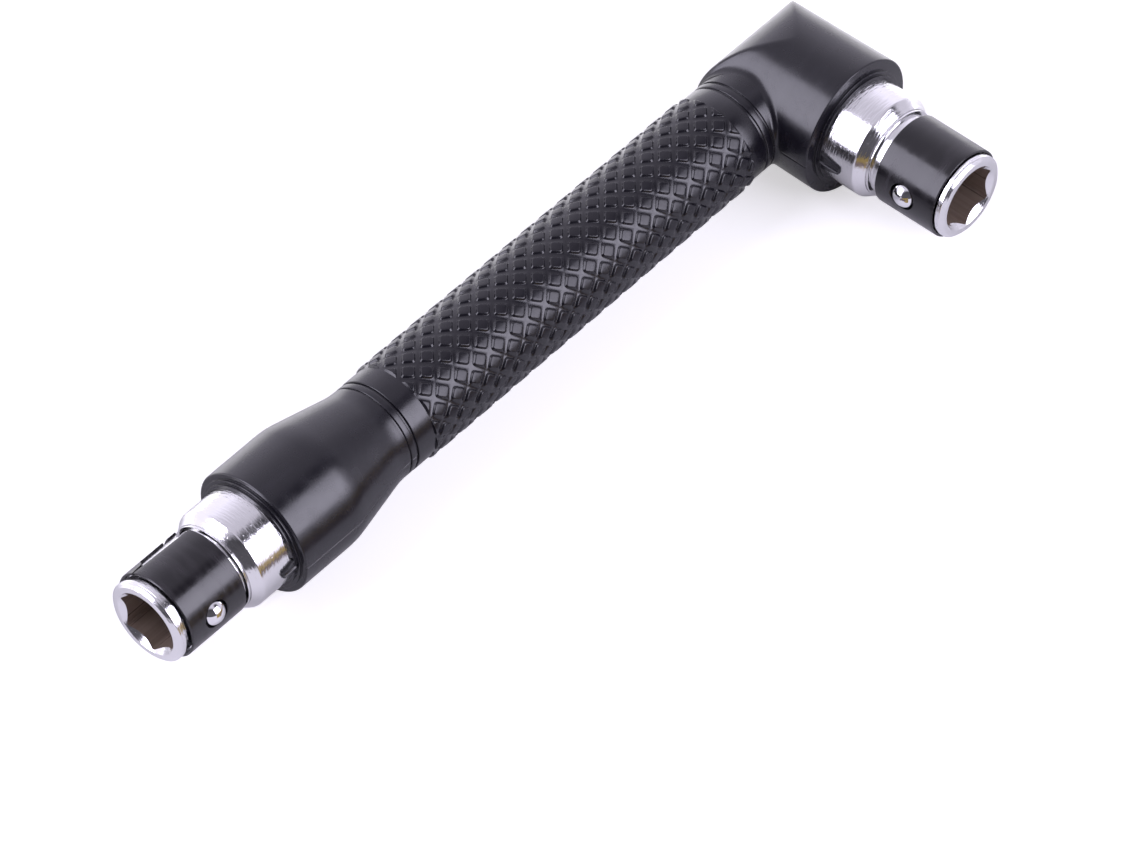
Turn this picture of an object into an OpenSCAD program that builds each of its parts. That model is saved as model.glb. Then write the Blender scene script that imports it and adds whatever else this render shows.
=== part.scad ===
// Offset screwdriver: a hex bit driver with one socket in line with its handle and a second one
// square to it. A black moulded handle carries two alike steel bit holders, and in each of them a
// split spring collar presses a ball against the bit.
// Millimetres. The tool lies flat: +X runs along the handle to the elbow, the square head points
// to -Y, +Z is up, and the origin is the middle of the underside of the bounding box.

/* [Handle] */
// Elbow axis to the face of the straight mouth
straight_mouth = 81.46; // [70:0.02:95]
// Wall of the bell round the straight bit holder
bell_wall = 1.43; // [1.3:0.01:2]
// Length of the straight part of the bell
bell_l = 8.2; // [6.5:0.1:10]
// Length of the taper from the bell down to the neck
taper_l = 8.1; // [5:0.1:10]
// Radius of the neck behind the bell
front_neck_r = 5.56; // [5.3:0.02:5.8]
// Length over which the neck swells from the ring grooves into the taper
front_neck_l = 0.94; // [0.5:0.02:3]
// Radius of the sweep from the taper into the bell
bell_sweep = 11; // [4:0.5:16]
// Radius of the neck at the elbow
elbow_neck_r = 5.5; // [5.3:0.02:5.8]
// Length of the plain neck between the head and the ring grooves
elbow_neck_l = 0.23; // [0.1:0.01:2]
// Rounding of the two mouth edges
edge_r = 0.5; // [0.1:0.05:0.6]
// Outer step raised on each mouth face, measured out from the steel
outer_step = 0.75; // [0.55:0.01:0.8]
// Inner step on top of it, measured out from the steel
inner_step = 0.35; // [0.2:0.01:0.5]
// Height of each of the two steps
step_h = 0.27; // [0.1:0.01:0.4]

/* [Ring grooves] */
// Width of each groove beside a bead
groove_w = 0.28; // [0.15:0.01:0.5]
// Depth of the grooves
groove_d = 0.17; // [0.08:0.01:0.3]
// Width of the bead between two grooves
bead_w = 0.75; // [0.4:0.05:1.2]

/* [Head] */
// Elbow axis to the face of the square head's mouth
angle_mouth = 9.47; // [9.2:0.01:14]
// Elbow axis to the back of the head's closed end
closed_end = 5.87; // [5.4:0.01:7.2]
// Wall of the head round its bit holder, at the mouth
head_wall = 2.01; // [1.8:0.01:2.6]
// How much narrower the head is at its closed end
head_draft = 0.2; // [0.05:0.01:0.4]

/* [Grip] */
// Plain band of the sleeve at the elbow end
elbow_band = 2.1; // [1:0.1:5]
// Plain band of the sleeve at the bell end
bell_band = 2.5; // [1:0.1:5]
// Radius of the sleeve's plain skin at the bell end
grip_bell_r = 5.58; // [5.4:0.02:5.9]
// Radius of the sleeve's plain skin at the elbow end
grip_elbow_r = 5.5; // [5.4:0.02:5.9]
// Radius of the handle's core inside the sleeve
core_r = 4.6; // [3.5:0.1:5]
// Pads round the sleeve in one row
pads_round = 14; // [10:1:18]
// Whole pads along a row, besides the one that is cut at its middle
pads_along = 17; // [10:1:22]
// Height of the pads above the plain skin
pad_h = 0.24; // [0.1:0.02:0.5]
// Width of a pad at its foot as a share of its cell
pad_foot = 0.76; // [0.65:0.01:0.9]
// Width of a pad at its top as a share of its cell
pad_top = 0.54; // [0.3:0.01:0.62]
// Turn of the first pad row from straight up towards -Y, in degrees
pad_turn = 45.9; // [0:0.1:60]

/* [Bit holders] */
// Mouth face to the nose of each bit holder
holder_out = 15.6; // [15.2:0.01:18]
// Length of each bit holder that is buried in the handle
buried_l = 8.9; // [6:0.1:9.4]
// Hex socket across flats
hex_flats = 6.4; // [6.36:0.01:6.5]
// Depth of the hex socket
socket_l = 12; // [9:0.1:16]
// How far the lead-in cone opens past the socket's corners
lead_over = 0.08; // [0.04:0.01:0.2]
// Radius of the recess that carries the collar
recess_r = 4.55; // [4.45:0.01:4.65]
// How far the nose ring stands above the recess
nose_lip = 0.23; // [0.1:0.01:0.4]
// Length of the nose ring
nose_l = 0.88; // [0.5:0.01:1.2]
// Length of the nose ring's chamfer
nose_chamfer = 0.3; // [0.1:0.01:0.45]
// Depth of the nose ring's chamfer
nose_bevel = 0.34; // [0.1:0.01:0.5]
// Radius of the fine bead behind the recess
shoulder_r = 5.04; // [4.8:0.01:5.2]
// Length of the cone between bead and ferrule
cone_l = 1.1; // [0.5:0.1:1.6]
// Radius of the ferrule that sits in the handle
ferrule_r = 5.85; // [5.6:0.01:6]
// Depth of the anchor groove on the buried part
anchor_d = 0.5; // [0.2:0.05:0.8]

/* [Keys] */
// Width at the tip of the moulded key that locks each ferrule against turning
key_tip = 0.8; // [0.4:0.1:1.6]
// How much a key widens on each side for each millimetre back from its tip
key_flare = 0.32; // [0.1:0.01:0.45]
// Depth of the key's slot in the ferrule
slot_d = 0.75; // [0.3:0.05:0.9]
// Length of the key beyond the straight mouth's face
straight_key_l = 2.1; // [0.8:0.1:3.2]
// Length of the key beyond the square mouth's face
angle_key_l = 2.9; // [0.8:0.1:3.2]

/* [Collars and balls] */
// Wall of the spring collar
collar_wall = 0.52; // [0.3:0.01:0.7]
// Length of the collar
collar_l = 7.67; // [7:0.01:8.5]
// How far the collar is shorter than its recess
collar_play = 1.06; // [0.8:0.01:1.5]
// How far the ball hole lies from the middle of the collar
hole_off = 0.295; // [0:0.005:0.3]
// Width of the collar's slit at its wide end
slit_w = 0.82; // [0.4:0.02:1.2]
// Width of the slit at its narrow end
slit_end_w = 0.14; // [0.1:0.02:0.4]
// Turn of the straight collar's slit from its ball, in degrees
straight_slit_turn = 114; // [40:1:320]
// Turn of the square head's collar's slit from its ball, in degrees
angle_slit_turn = 246; // [40:1:320]
// Ball diameter
ball_d = 3; // [2.9:0.02:3.1]
// How far the ball stands into the socket past its flat
ball_proud = 0.51; // [0.4:0.01:0.6]
// Straight ball's turn from straight up towards -Y, in degrees
straight_ball_turn = 80; // [60:1:120]
// Square head's ball's turn from straight up towards -X, in degrees
angle_ball_turn = 82; // [60:1:120]

/* [Hidden] */
// Facets drawn on a curve
$fn = 96;
// Running clearance of moving pieces, and the slack of the keys in their slots
slack = 0.03;
key_slack = 0.05;
// How far a cut runs past the face that it opens
past = 1;
// Socket and nose
hex_r = hex_flats / sqrt(3);
lead_r = hex_r + lead_over;
nose_r = recess_r + nose_lip;
land_r = nose_r - nose_bevel;
// Collar: its near edge clears the nose ring by end_gap
end_gap = 0.06;
collar_edge = 0.12;
collar_bore_r = recess_r + slack;
collar_r = collar_bore_r + collar_wall;
hole_at = collar_l / 2 - hole_off;
slit_slope = (slit_w - slit_end_w) / collar_l;
slit_past = 0.2;
// Ball: it stops on a lip left between its seat and the socket's flat
ball_r = ball_d / 2;
ball_at = hex_flats / 2 - ball_proud + ball_r;
ball_back = nose_l + end_gap + collar_l - hole_at;
lip_wall = 0.16;
lip_drop = ball_r - ball_proud - lip_wall;
lip_bore_r = sqrt(ball_r * ball_r - lip_drop * lip_drop) + slack / 2;
// The collar's hole is smaller than the ball, and just clears it at the collar's bore
hole_drop = collar_bore_r - ball_at;
hole_r = sqrt(ball_r * ball_r - hole_drop * hole_drop) + slack / 2;
// Fine bead and groove between recess and cone
shoulder_l = 0.2;
line_l = 0.12;
line_d = 0.1;
cone_rise = 0.07;
recess_end = nose_l + collar_l + collar_play;
cone_start = recess_end + shoulder_l + line_l;
cone_end = cone_start + cone_l;
// Buried part of the ferrule
holder_l = holder_out + buried_l;
end_chamfer = 0.4;
anchor_w = 1.5;
anchor_back = holder_l - 3;
key_rise = 0.2;
key_floor_r = ferrule_r - slot_d;
straight_nose = straight_mouth + holder_out;
angle_nose = angle_mouth + holder_out;
// Handle and head, measured from the elbow axis
bell_r = ferrule_r + bell_wall;
bell_start = straight_mouth - bell_l;
taper_start = bell_start - taper_l;
taper_angle = atan((bell_r - front_neck_r) / taper_l);
neck_sweep = front_neck_l / tan(taper_angle / 2);
ring_l = 2 * groove_w + bead_w;
bead_drop = 0.06;
bead_round = 0.15;
head_mouth_r = ferrule_r + head_wall;
head_back_r = head_mouth_r - head_draft;
// The roller shape that rounds off the closed end is a little wider than the head at its axis
roller_r = head_mouth_r - head_draft / 3;
roller_back = roller_r - closed_end;
grip_start = head_mouth_r + elbow_neck_l + ring_l;
grip_end = taper_start - front_neck_l - ring_l;
pads_start = grip_end - bell_band;
pads_end = grip_start + elbow_band;
// The bounding box, for the origin
high_x = head_mouth_r;
low_x = -straight_nose;
high_y = max(bell_r, closed_end);
low_y = -angle_nose;
low_z = -max(head_mouth_r, bell_r);
origin = [(low_x + high_x) / 2, (low_y + high_y) / 2, low_z];

handle_black = [0.05, 0.05, 0.055];
steel = [0.8, 0.81, 0.83];
collar_black = [0.12, 0.12, 0.13];
ball_steel = [0.7, 0.71, 0.73];

// Piece to draw

// Points of a quarter round that ends a turned shape of radius r at height top
function end_round(r, top, size) =
    [for (a = [0:15:90]) [r - size + size * cos(a), top - size + size * sin(a)]];

// Points of a mouth: rounded edge, then two steps raised round the steel
function mouth(r, top) = concat(end_round(r, top, edge_r), [
    [ferrule_r + outer_step, top],
    [ferrule_r + outer_step, top + step_h],
    [ferrule_r + inner_step, top + step_h],
    [ferrule_r + inner_step, top + 2 * step_h],
    [0, top + 2 * step_h]
]);

// Points of a bead between two grooves that starts at height from, on a neck of radius r
function ring_group(r, from) = [
    [r - groove_d, from],
    [r - groove_d, from + groove_w],
    [r - bead_drop, from + groove_w],
    [r, from + groove_w + bead_round],
    [r, from + groove_w + bead_w - bead_round],
    [r - bead_drop, from + groove_w + bead_w],
    [r - groove_d, from + groove_w + bead_w],
    [r - groove_d, from + ring_l]
];

// Points of the taper: it sweeps out of the neck, runs straight and sweeps into the bell
function taper() = concat(
    [for (t = [0:0.25:1])
        let (a = t * taper_angle)
            [front_neck_r + neck_sweep * (1 - cos(a)), taper_start - front_neck_l + neck_sweep * sin(a)]],
    [for (t = [1:-0.25:0])
        let (a = t * taper_angle)
            [bell_r - bell_sweep * (1 - cos(a)), bell_start + bell_sweep * (tan(taper_angle / 2) - sin(a))]]
);

// Outline of the straight part of the handle, from the elbow axis to the bell's mouth
function handle_outline() = concat(
    [[0, 0], [elbow_neck_r, 0], [elbow_neck_r, grip_start - ring_l]],
    ring_group(elbow_neck_r, grip_start - ring_l),
    [[core_r, grip_start], [core_r, grip_end]],
    ring_group(front_neck_r, grip_end),
    taper(),
    mouth(bell_r, straight_mouth)
);

// Lays a shape drawn upwards from the elbow axis along the handle, turned so that its +X goes
// from straight up towards -Y
module along_handle(turn) {
    rotate([0, -90, 0])
        rotate([0, 0, -turn])
            children();
}

// The same for the square head, turned from straight up towards -X
module along_head(turn) {
    rotate([90, 0, 0])
        rotate([0, 0, 90 + turn])
            children();
}

// The space that a bit holder's buried part takes up, with its nose at height top
module ferrule_space(top) {
    translate([0, 0, top])
        rotate_extrude()
            polygon(concat(
                [[0, -cone_end], [ferrule_r, -cone_end]],
                buried_outline(),
                [[0, -holder_l]]
            ));
}

// Outline of the ferrule from its cone back, shared with the bore that it is moulded into
function buried_outline() = [
    [ferrule_r, -anchor_back + anchor_w],
    [ferrule_r - anchor_d, -anchor_back + anchor_w],
    [ferrule_r - anchor_d, -anchor_back],
    [ferrule_r, -anchor_back],
    [ferrule_r, -holder_l + end_chamfer],
    [ferrule_r - end_chamfer, -holder_l]
];

// A moulded key on +X that stands in the ferrule's slot, or the slot itself, which is wider all
// round by gap. It runs from height from to the mouth's face, and tapers from there over its length.
module key(from, face, length, gap) {
    tip = face + length + gap;
    tip_w = key_tip + 2 * gap;
    root_w = tip_w + 2 * key_flare * length;
    intersection() {
        translate([0, 0, from])
            cylinder(r = ferrule_r + key_rise, h = tip - from);
        translate([key_floor_r - gap, 0, 0])
            rotate([90, 0, 90])
                linear_extrude(ferrule_r)
                    polygon([
                        [-root_w / 2, from],
                        [root_w / 2, from],
                        [root_w / 2, face],
                        [tip_w / 2, tip],
                        [-tip_w / 2, tip],
                        [-root_w / 2, face]
                    ]);
    }
}

// Closed end of the head: everything outside the roller shape, behind its axis
module head_trim() {
    difference() {
        translate([-2 * head_mouth_r, -roller_back, -2 * head_mouth_r])
            cube(4 * head_mouth_r);
        translate([0, -roller_back, 0])
            rotate([0, 90, 0])
                cylinder(r = roller_r, h = 6 * head_mouth_r, center = true);
    }
}

module head() {
    difference() {
        along_head(0)
            rotate_extrude()
                polygon(concat(
                    [[0, -closed_end - past], [head_back_r, -closed_end - past]],
                    mouth(head_mouth_r, angle_mouth)
                ));
        head_trim();
    }
}

module handle() {
    color(handle_black) {
        difference() {
            union() {
                along_handle(0)
                    rotate_extrude()
                        polygon(handle_outline());
                head();
            }
            along_handle(0)
                ferrule_space(straight_nose);
            along_head(0)
                ferrule_space(angle_nose);
        }
        along_handle(90)
            key(straight_mouth - buried_l, straight_mouth, straight_key_l, 0);
        along_head(90)
            key(angle_mouth - buried_l, angle_mouth, angle_key_l, 0);
    }
}

// Grip sleeve. Its skin is a lattice of raised diamond pads: rows stand side by side round the
// sleeve, each half a pad further along than the last, and plain circles cut the end pads.
pad_pitch = (pads_start - pads_end) / (pads_along + 0.5);
row_turn = 360 / pads_round;
// Rings of points on the plain bands have four points to a pad
band_points = 4 * pads_round;
bore_r = core_r / cos(180 / band_points);
function skin_r(s) =
    grip_elbow_r + (grip_bell_r - grip_elbow_r) * (s - grip_start) / (grip_end - grip_start);
function at(s, turn, r) = [-s, -r * sin(turn), r * cos(turn)];
// A point of the lattice: u pads along from the bell end, v rows round, lifted above the skin
function lattice(u, v, lift) = at(
    pads_start - u * pad_pitch,
    pad_turn - v * row_turn,
    skin_r(pads_start - u * pad_pitch) + lift
);
// The eight points of a pad at (u, v), kept between the two end circles: foot then top, each in
// the order front, right, back, left. A pad that a circle cuts slopes there as on its other sides.
pad_slope = (pad_foot - pad_top) / 2;
function pad_points(u, v) = [
    for (level = [[pad_foot / 2, 0, 0], [pad_top / 2, pad_h, pad_slope]])
        for (corner = [[-1, 0], [0, 1], [1, 0], [0, -1]])
            let (
                free = u + corner[0] * level[0],
                kept = min(max(free, level[2]), pads_along + 0.5 - level[2])
            )
                lattice(kept, v + corner[1] * (level[0] - abs(kept - free)), level[1])
];
// Pads are numbered row by row: even rows start on the bell-end circle, odd rows end on the other
row_count = 2 * pads_round;
pad_count = pads_along + 1;
last = pad_count - 1;
lattice_points = [
    for (row = [0:row_count - 1])
        for (k = [0:pad_count - 1])
            each pad_points(k + (row % 2) / 2, row / 2)
];
function foot(row, k, corner) =
    8 * (((row + row_count) % row_count) * pad_count + k) + corner;
function top(row, k, corner) = foot(row, k, corner) + 4;
function front_cut(row, k) = row % 2 == 0 && k == 0;
function back_cut(row, k) = row % 2 == 1 && k == last;
// Tops and sloped sides of all pads. A cut pad has two sides and one end.
pad_faces = [
    for (row = [0:row_count - 1])
        for (k = [0:pad_count - 1])
            each concat(
                front_cut(row, k) ? [] : [[top(row, k, 0), top(row, k, 1), top(row, k, 3)]],
                back_cut(row, k) ? [] : [[top(row, k, 1), top(row, k, 2), top(row, k, 3)]],
                front_cut(row, k) ? [] : concat(pad_side(row, k, 3, 0), pad_side(row, k, 0, 1)),
                back_cut(row, k) ? [] : concat(pad_side(row, k, 1, 2), pad_side(row, k, 2, 3))
            )
];
function quad(a, b, c, d) = [[a, b, c], [a, c, d]];
function pad_side(row, k, c, d) = quad(foot(row, k, c), foot(row, k, d), top(row, k, d), top(row, k, c));
// Channels between the pads: a strip along each side that two pads share, and a small diamond
// where four pads meet
channel_faces = [
    for (row = [0:row_count - 1])
        for (k = [0:pad_count - 1])
            each concat(
                // the pad diagonally ahead, in the next row
                (row % 2 == 1 || k > 0)
                    ? let (j = row % 2 == 1 ? k : k - 1)
                        quad(foot(row, k, 1), foot(row, k, 0), foot(row + 1, j, 3), foot(row + 1, j, 2))
                    : [],
                // the pad diagonally behind, in the next row
                (row % 2 == 0 || k < last)
                    ? let (j = row % 2 == 0 ? k : k + 1)
                        quad(foot(row, k, 2), foot(row, k, 1), foot(row + 1, j, 0), foot(row + 1, j, 3))
                    : [],
                // the crossing between this pad and the next one in its row
                k < last
                    ? let (j = row % 2 == 0 ? k : k + 1)
                        quad(foot(row, k, 2), foot(row + 1, j, 3), foot(row, k + 1, 0), foot(row - 1, j, 1))
                    : []
            )
];
// Half crossings against the two end circles
end_faces = [
    for (row = [0:2:row_count - 1])
        each [
            [foot(row, 0, 1), foot(row + 2, 0, 3), foot(row + 1, 0, 0)],
            [foot(row + 2, last, 2), foot(row + 3, last, 3), foot(row + 1, last, 1)]
        ]
];
// Rings of points: the end circles between the pads' corners, the sleeve's two ends and its bore
ring_start = len(lattice_points);
function ring_turn(i, shift) = pad_turn - row_turn * (floor(i / 4) + (i % 4 - 1.5) / 3 * pad_foot + shift);
function ring(s, r, shift) = [for (i = [0:band_points - 1]) at(s, ring_turn(i, shift), r)];
ring_points = concat(
    ring(pads_start, skin_r(pads_start), 0),
    ring(grip_end, skin_r(grip_end), 0),
    ring(grip_end, bore_r, 0),
    ring(grip_start, bore_r, 0.5),
    ring(grip_start, skin_r(grip_start), 0.5),
    ring(pads_end, skin_r(pads_end), 0.5)
);
// The outer points of a cut pad's end are the pad's own
function ring_point(r, i) =
    let (n = (i + band_points) % band_points, row = 2 * floor(n / 4))
    r == 0 && n % 4 == 0 ? foot(row, 0, 3)
    : r == 0 && n % 4 == 3 ? foot(row, 0, 1)
    : r == 5 && n % 4 == 0 ? foot(row + 1, last, 3)
    : r == 5 && n % 4 == 3 ? foot(row + 1, last, 1)
    : ring_start + r * band_points + n;
ring_faces = [
    for (r = [0:4])
        for (i = [0:band_points - 1])
            each quad(
                ring_point(r, i + 1),
                ring_point(r, i),
                ring_point(r + 1, i),
                ring_point(r + 1, i + 1)
            )
];
// Sloped ends of the pads that the two circles cut
cut_faces = [
    for (j = [0:pads_round - 1])
        let (f = 4 * j, row = 2 * j)
            each [
                [ring_point(0, f), ring_point(0, f + 1), top(row, 0, 3)],
                each quad(ring_point(0, f + 1), ring_point(0, f + 2), top(row, 0, 1), top(row, 0, 3)),
                [ring_point(0, f + 2), ring_point(0, f + 3), top(row, 0, 1)],
                [ring_point(5, f + 1), ring_point(5, f), top(row + 1, last, 3)],
                each quad(
                    ring_point(5, f + 2),
                    ring_point(5, f + 1),
                    top(row + 1, last, 3),
                    top(row + 1, last, 1)
                ),
                [ring_point(5, f + 3), ring_point(5, f + 2), top(row + 1, last, 1)]
            ]
];

module grip_sleeve() {
    color(handle_black)
        polyhedron(
            points = concat(lattice_points, ring_points),
            faces = concat(pad_faces, channel_faces, end_faces, ring_faces, cut_faces)
        );
}

// Bit holder with its nose at height 0, pointing up, and its ball on +X
module bit_holder(slot_turn, slot_l) {
    color(steel)
        difference() {
            rotate_extrude()
                polygon(concat(
                    [
                        [0, 0],
                        [land_r, 0],
                        [nose_r, -nose_chamfer],
                        [nose_r, -nose_l],
                        [recess_r, -nose_l],
                        [recess_r, -recess_end],
                        [shoulder_r, -recess_end],
                        [shoulder_r, -recess_end - shoulder_l],
                        [shoulder_r - line_d, -recess_end - shoulder_l],
                        [shoulder_r - line_d, -cone_start],
                        [shoulder_r + cone_rise, -cone_start],
                        [ferrule_r, -cone_end]
                    ],
                    buried_outline(),
                    [[0, -holder_l]]
                ));
            translate([0, 0, -socket_l])
                rotate([0, 0, 30])
                    cylinder(r = hex_r, h = socket_l + past, $fn = 6);
            // lead-in cone, its narrow end inside the socket
            translate([0, 0, hex_r - lead_r - past])
                cylinder(r1 = hex_r - past, r2 = lead_r, h = lead_r - hex_r + past);
            // the ball's seat and the narrower hole through its lip
            translate([ball_at - lip_drop, 0, -ball_back])
                rotate([0, 90, 0])
                    cylinder(r = ball_r + slack, h = ferrule_r);
            translate([0, 0, -ball_back])
                rotate([0, 90, 0])
                    cylinder(r = lip_bore_r, h = ball_at);
            rotate([0, 0, slot_turn])
                key(-holder_l - past, -holder_out, slot_l, key_slack);
        }
}

// Split spring collar, its ball hole at height 0 on +X. One side of the slit runs along the collar,
// and the other leaves it wider at the low end than at the nose's end.
module collar(slit_turn) {
    low_end = hole_at - collar_l;
    color(collar_black)
        difference() {
            translate([0, 0, low_end])
                rotate_extrude()
                    polygon([
                        [collar_bore_r, 0],
                        [collar_r - collar_edge, 0],
                        [collar_r, collar_edge],
                        [collar_r, collar_l - collar_edge],
                        [collar_r - collar_edge, collar_l],
                        [collar_bore_r, collar_l]
                    ]);
            rotate([0, 90, 0])
                cylinder(r = hole_r, h = 2 * collar_r);
            rotate([0, 0, slit_turn])
                rotate([90, 0, 90])
                    linear_extrude(2 * collar_r)
                        polygon([
                            [0, low_end - slit_past],
                            [0, hole_at + slit_past],
                            [slit_slope * slit_past - slit_end_w, hole_at + slit_past],
                            [-slit_slope * slit_past - slit_w, low_end - slit_past]
                        ]);
        }
}

module ball() {
    color(ball_steel)
        translate([ball_at, 0, 0])
            sphere(r = ball_r);
}

module straight_bit_holder() {
    along_handle(straight_ball_turn)
        translate([0, 0, straight_nose])
            bit_holder(straight_ball_turn - 90, straight_key_l);
}

module straight_collar() {
    along_handle(straight_ball_turn)
        translate([0, 0, straight_nose - ball_back])
            collar(straight_slit_turn);
}

module straight_ball() {
    along_handle(straight_ball_turn)
        translate([0, 0, straight_nose - ball_back])
            ball();
}

module angle_bit_holder() {
    along_head(angle_ball_turn)
        translate([0, 0, angle_nose])
            bit_holder(90 - angle_ball_turn, angle_key_l);
}

// The same collar, put on the other way round
module angle_collar() {
    along_head(angle_ball_turn)
        translate([0, 0, angle_nose - ball_back])
            rotate([180, 0, 0])
                collar(angle_slit_turn);
}

module angle_ball() {
    along_head(angle_ball_turn)
        translate([0, 0, angle_nose - ball_back])
            ball();
}

translate(-origin) {
    handle();
    grip_sleeve();
    straight_bit_holder();
    straight_collar();
    straight_ball();
    angle_bit_holder();
    angle_collar();
    angle_ball();
}
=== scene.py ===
import math

import bmesh
import bpy
from mathutils import Matrix, Vector


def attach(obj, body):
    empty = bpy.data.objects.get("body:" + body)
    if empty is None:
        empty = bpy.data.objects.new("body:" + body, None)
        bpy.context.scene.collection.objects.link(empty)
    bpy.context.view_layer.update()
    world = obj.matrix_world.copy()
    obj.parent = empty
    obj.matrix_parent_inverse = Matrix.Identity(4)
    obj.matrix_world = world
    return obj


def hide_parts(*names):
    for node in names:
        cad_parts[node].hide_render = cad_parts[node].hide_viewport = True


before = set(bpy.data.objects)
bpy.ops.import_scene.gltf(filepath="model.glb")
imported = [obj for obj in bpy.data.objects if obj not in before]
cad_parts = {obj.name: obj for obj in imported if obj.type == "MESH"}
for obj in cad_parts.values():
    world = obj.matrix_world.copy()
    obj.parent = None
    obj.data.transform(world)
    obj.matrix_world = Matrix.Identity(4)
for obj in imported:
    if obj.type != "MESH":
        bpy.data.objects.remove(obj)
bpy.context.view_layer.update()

# Handle: one black L of hard glossy plastic, moulded round the two steel ferrules. Its straight arm
# ends in a bell, its elbow in a closed head, and a fine mould line runs round it in the L's plane.
MM = 0.001
ELBOW = Vector((44.6, 8.895, 7.86))
FERRULE_R = 5.85
MOUTH_STEPS = ((0.75, 0.27), (0.35, 0.54))
BELL_EDGE, HEAD_EDGE = 0.3, 0.2
STEP_EDGE = 0.035

NECK_R, CORE_R, FRONT_NECK_R, BELL_R = 5.5, 4.6, 5.56, 7.27
GRIP_START, GRIP_END = 9.40, 62.91
TAPER_START, BELL_START, BELL_MOUTH = 65.16, 73.26, 81.46
TAPER_SWEEP, BELL_SWEEP = 14.0, 11.0
GROOVE_W, GROOVE_D, GROOVE_EDGE = 0.28, 0.17, 0.05
BEAD_W, BEAD_EDGE = 0.75, 0.2
ARM_START = 2

HEAD_MOUTH, HEAD_MOUTH_R, HEAD_DRAFT = 9.47, 7.86, 0.2
CLOSED_END, CREASE = 5.87, 0.3
BURIED_L = 8.9
SEAM_TURN, SEAM_D = 0.45, 0.04
FILLET, FILLET_LEAST, FILLET_SUNK, FILLET_ROOT = 0.7, 0.02, 0.015, 0.5
FACETS, FILLET_STEPS, SIDE_ROWS, BACK_POINTS = 192, 6, 14, 25
# Rows at the end of a mouth's outline that lie inside it, without the mould line
INNER_ROWS = 12
STRAIGHT_KEY_L, ANGLE_KEY_L = 2.1, 2.9
KEY_TIP, KEY_FLARE, KEY_RISE, KEY_FLOOR = 0.8, 0.32, 0.34, 0.75
KEY_EDGE, KEY_SUNK = 0.06, 2
# The mould line leaves a fine ridge along each key, given as (across, height) points
KEY_RIDGE = ((0.07, 0.0), (0.04, 0.13), (0.0, 0.13), (-0.16, 0.0))


def down_handle(s, turn, r):
    """A point s mm from the elbow along the handle, turned from straight up towards -Y."""
    angle = math.radians(turn)
    return (ELBOW + Vector((-s, -r * math.sin(angle), r * math.cos(angle)))) * MM


def down_head(s, turn, r):
    """A point s mm from the elbow along the head, turned from straight up towards -X."""
    angle = math.radians(turn)
    return (ELBOW + Vector((-r * math.sin(angle), -s, r * math.cos(angle)))) * MM


def soften(corners, steps=5):
    """An outline of (s, r) points from (s, r, radius) corners, each rounded off by its radius."""
    outline = []
    for i, (s, r, radius) in enumerate(corners):
        here = Vector((s, r))
        if radius == 0 or i in (0, len(corners) - 1):
            outline.append((s, r))
            continue
        before = Vector(corners[i - 1][:2]) - here
        after = Vector(corners[i + 1][:2]) - here
        reach = radius / math.tan(before.angle(after) / 2)
        for side, neighbour in ((before, corners[i - 1]), (after, corners[i + 1])):
            reach = min(reach, side.length * radius / (radius + neighbour[2]))
        start = here + before.normalized() * reach
        end = here + after.normalized() * reach
        for k in range(steps + 1):
            t = k / steps
            outline.append(tuple(start * (1 - t) ** 2 + here * 2 * t * (1 - t) + end * t * t))
    return outline


def stitch(mesh, ring, following, closed=True):
    """Faces between two rows of points, which share a point where the row is a single one."""
    faces = []
    count = len(ring)
    for i in range(count if closed else count - 1):
        j = (i + 1) % count
        corners = []
        for point in (ring[i], ring[j], following[j], following[i]):
            if point not in corners:
                corners.append(point)
        if len(corners) > 2:
            faces.append(mesh.faces.new(corners))
    return faces


def turned(mesh, place, outline, turns, seam_rows=0):
    """Turns an outline about an axis. Its first rows may have the mould line's dip at 90 and 270."""
    rings = []
    for row, (s, r) in enumerate(outline):
        if r == 0:
            rings.append([mesh.verts.new(place(s, 0, 0))] * len(turns))
            continue
        dip = SEAM_D if row < seam_rows else 0
        rings.append([mesh.verts.new(place(s, t, r - (dip if t in (90, 270) else 0))) for t in turns])
    for ring, following in zip(rings, rings[1:]):
        stitch(mesh, ring, following)
    return rings


def made_from(mesh, name, sharp=35):
    """Turns a finished bmesh into an object with smooth faces and crisp edges."""
    bmesh.ops.remove_doubles(mesh, verts=mesh.verts, dist=1e-7)
    bmesh.ops.dissolve_degenerate(mesh, edges=mesh.edges, dist=1e-7)
    bmesh.ops.recalc_face_normals(mesh, faces=mesh.faces)
    data = bpy.data.meshes.new(name)
    mesh.to_mesh(data)
    mesh.free()
    data.shade_smooth()
    data.set_sharp_from_angle(angle=math.radians(sharp))
    made = bpy.data.objects.new(name, data)
    bpy.context.scene.collection.objects.link(made)
    return made


def combine(target, others, operation, sharp=35):
    """Joins solids to a target, or cuts them from it, and leaves one clean mesh."""
    for other in others:
        step = target.modifiers.new("combine", "BOOLEAN")
        step.operation = operation
        step.solver = "EXACT"
        step.object = other
    bpy.context.view_layer.update()
    seen = bpy.context.evaluated_depsgraph_get()
    data = bpy.data.meshes.new_from_object(target.evaluated_get(seen))
    target.modifiers.clear()
    target.data = data
    data.name = target.name
    for other in others:
        bpy.data.objects.remove(other)
    data.shade_smooth()
    data.set_sharp_from_angle(angle=math.radians(sharp))


def even_shade(made):
    """Lets broad faces set the shading, so that small rounded edges stay crisp."""
    shade = made.modifiers.new("even_shade", "WEIGHTED_NORMAL")
    shade.keep_sharp = True


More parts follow.
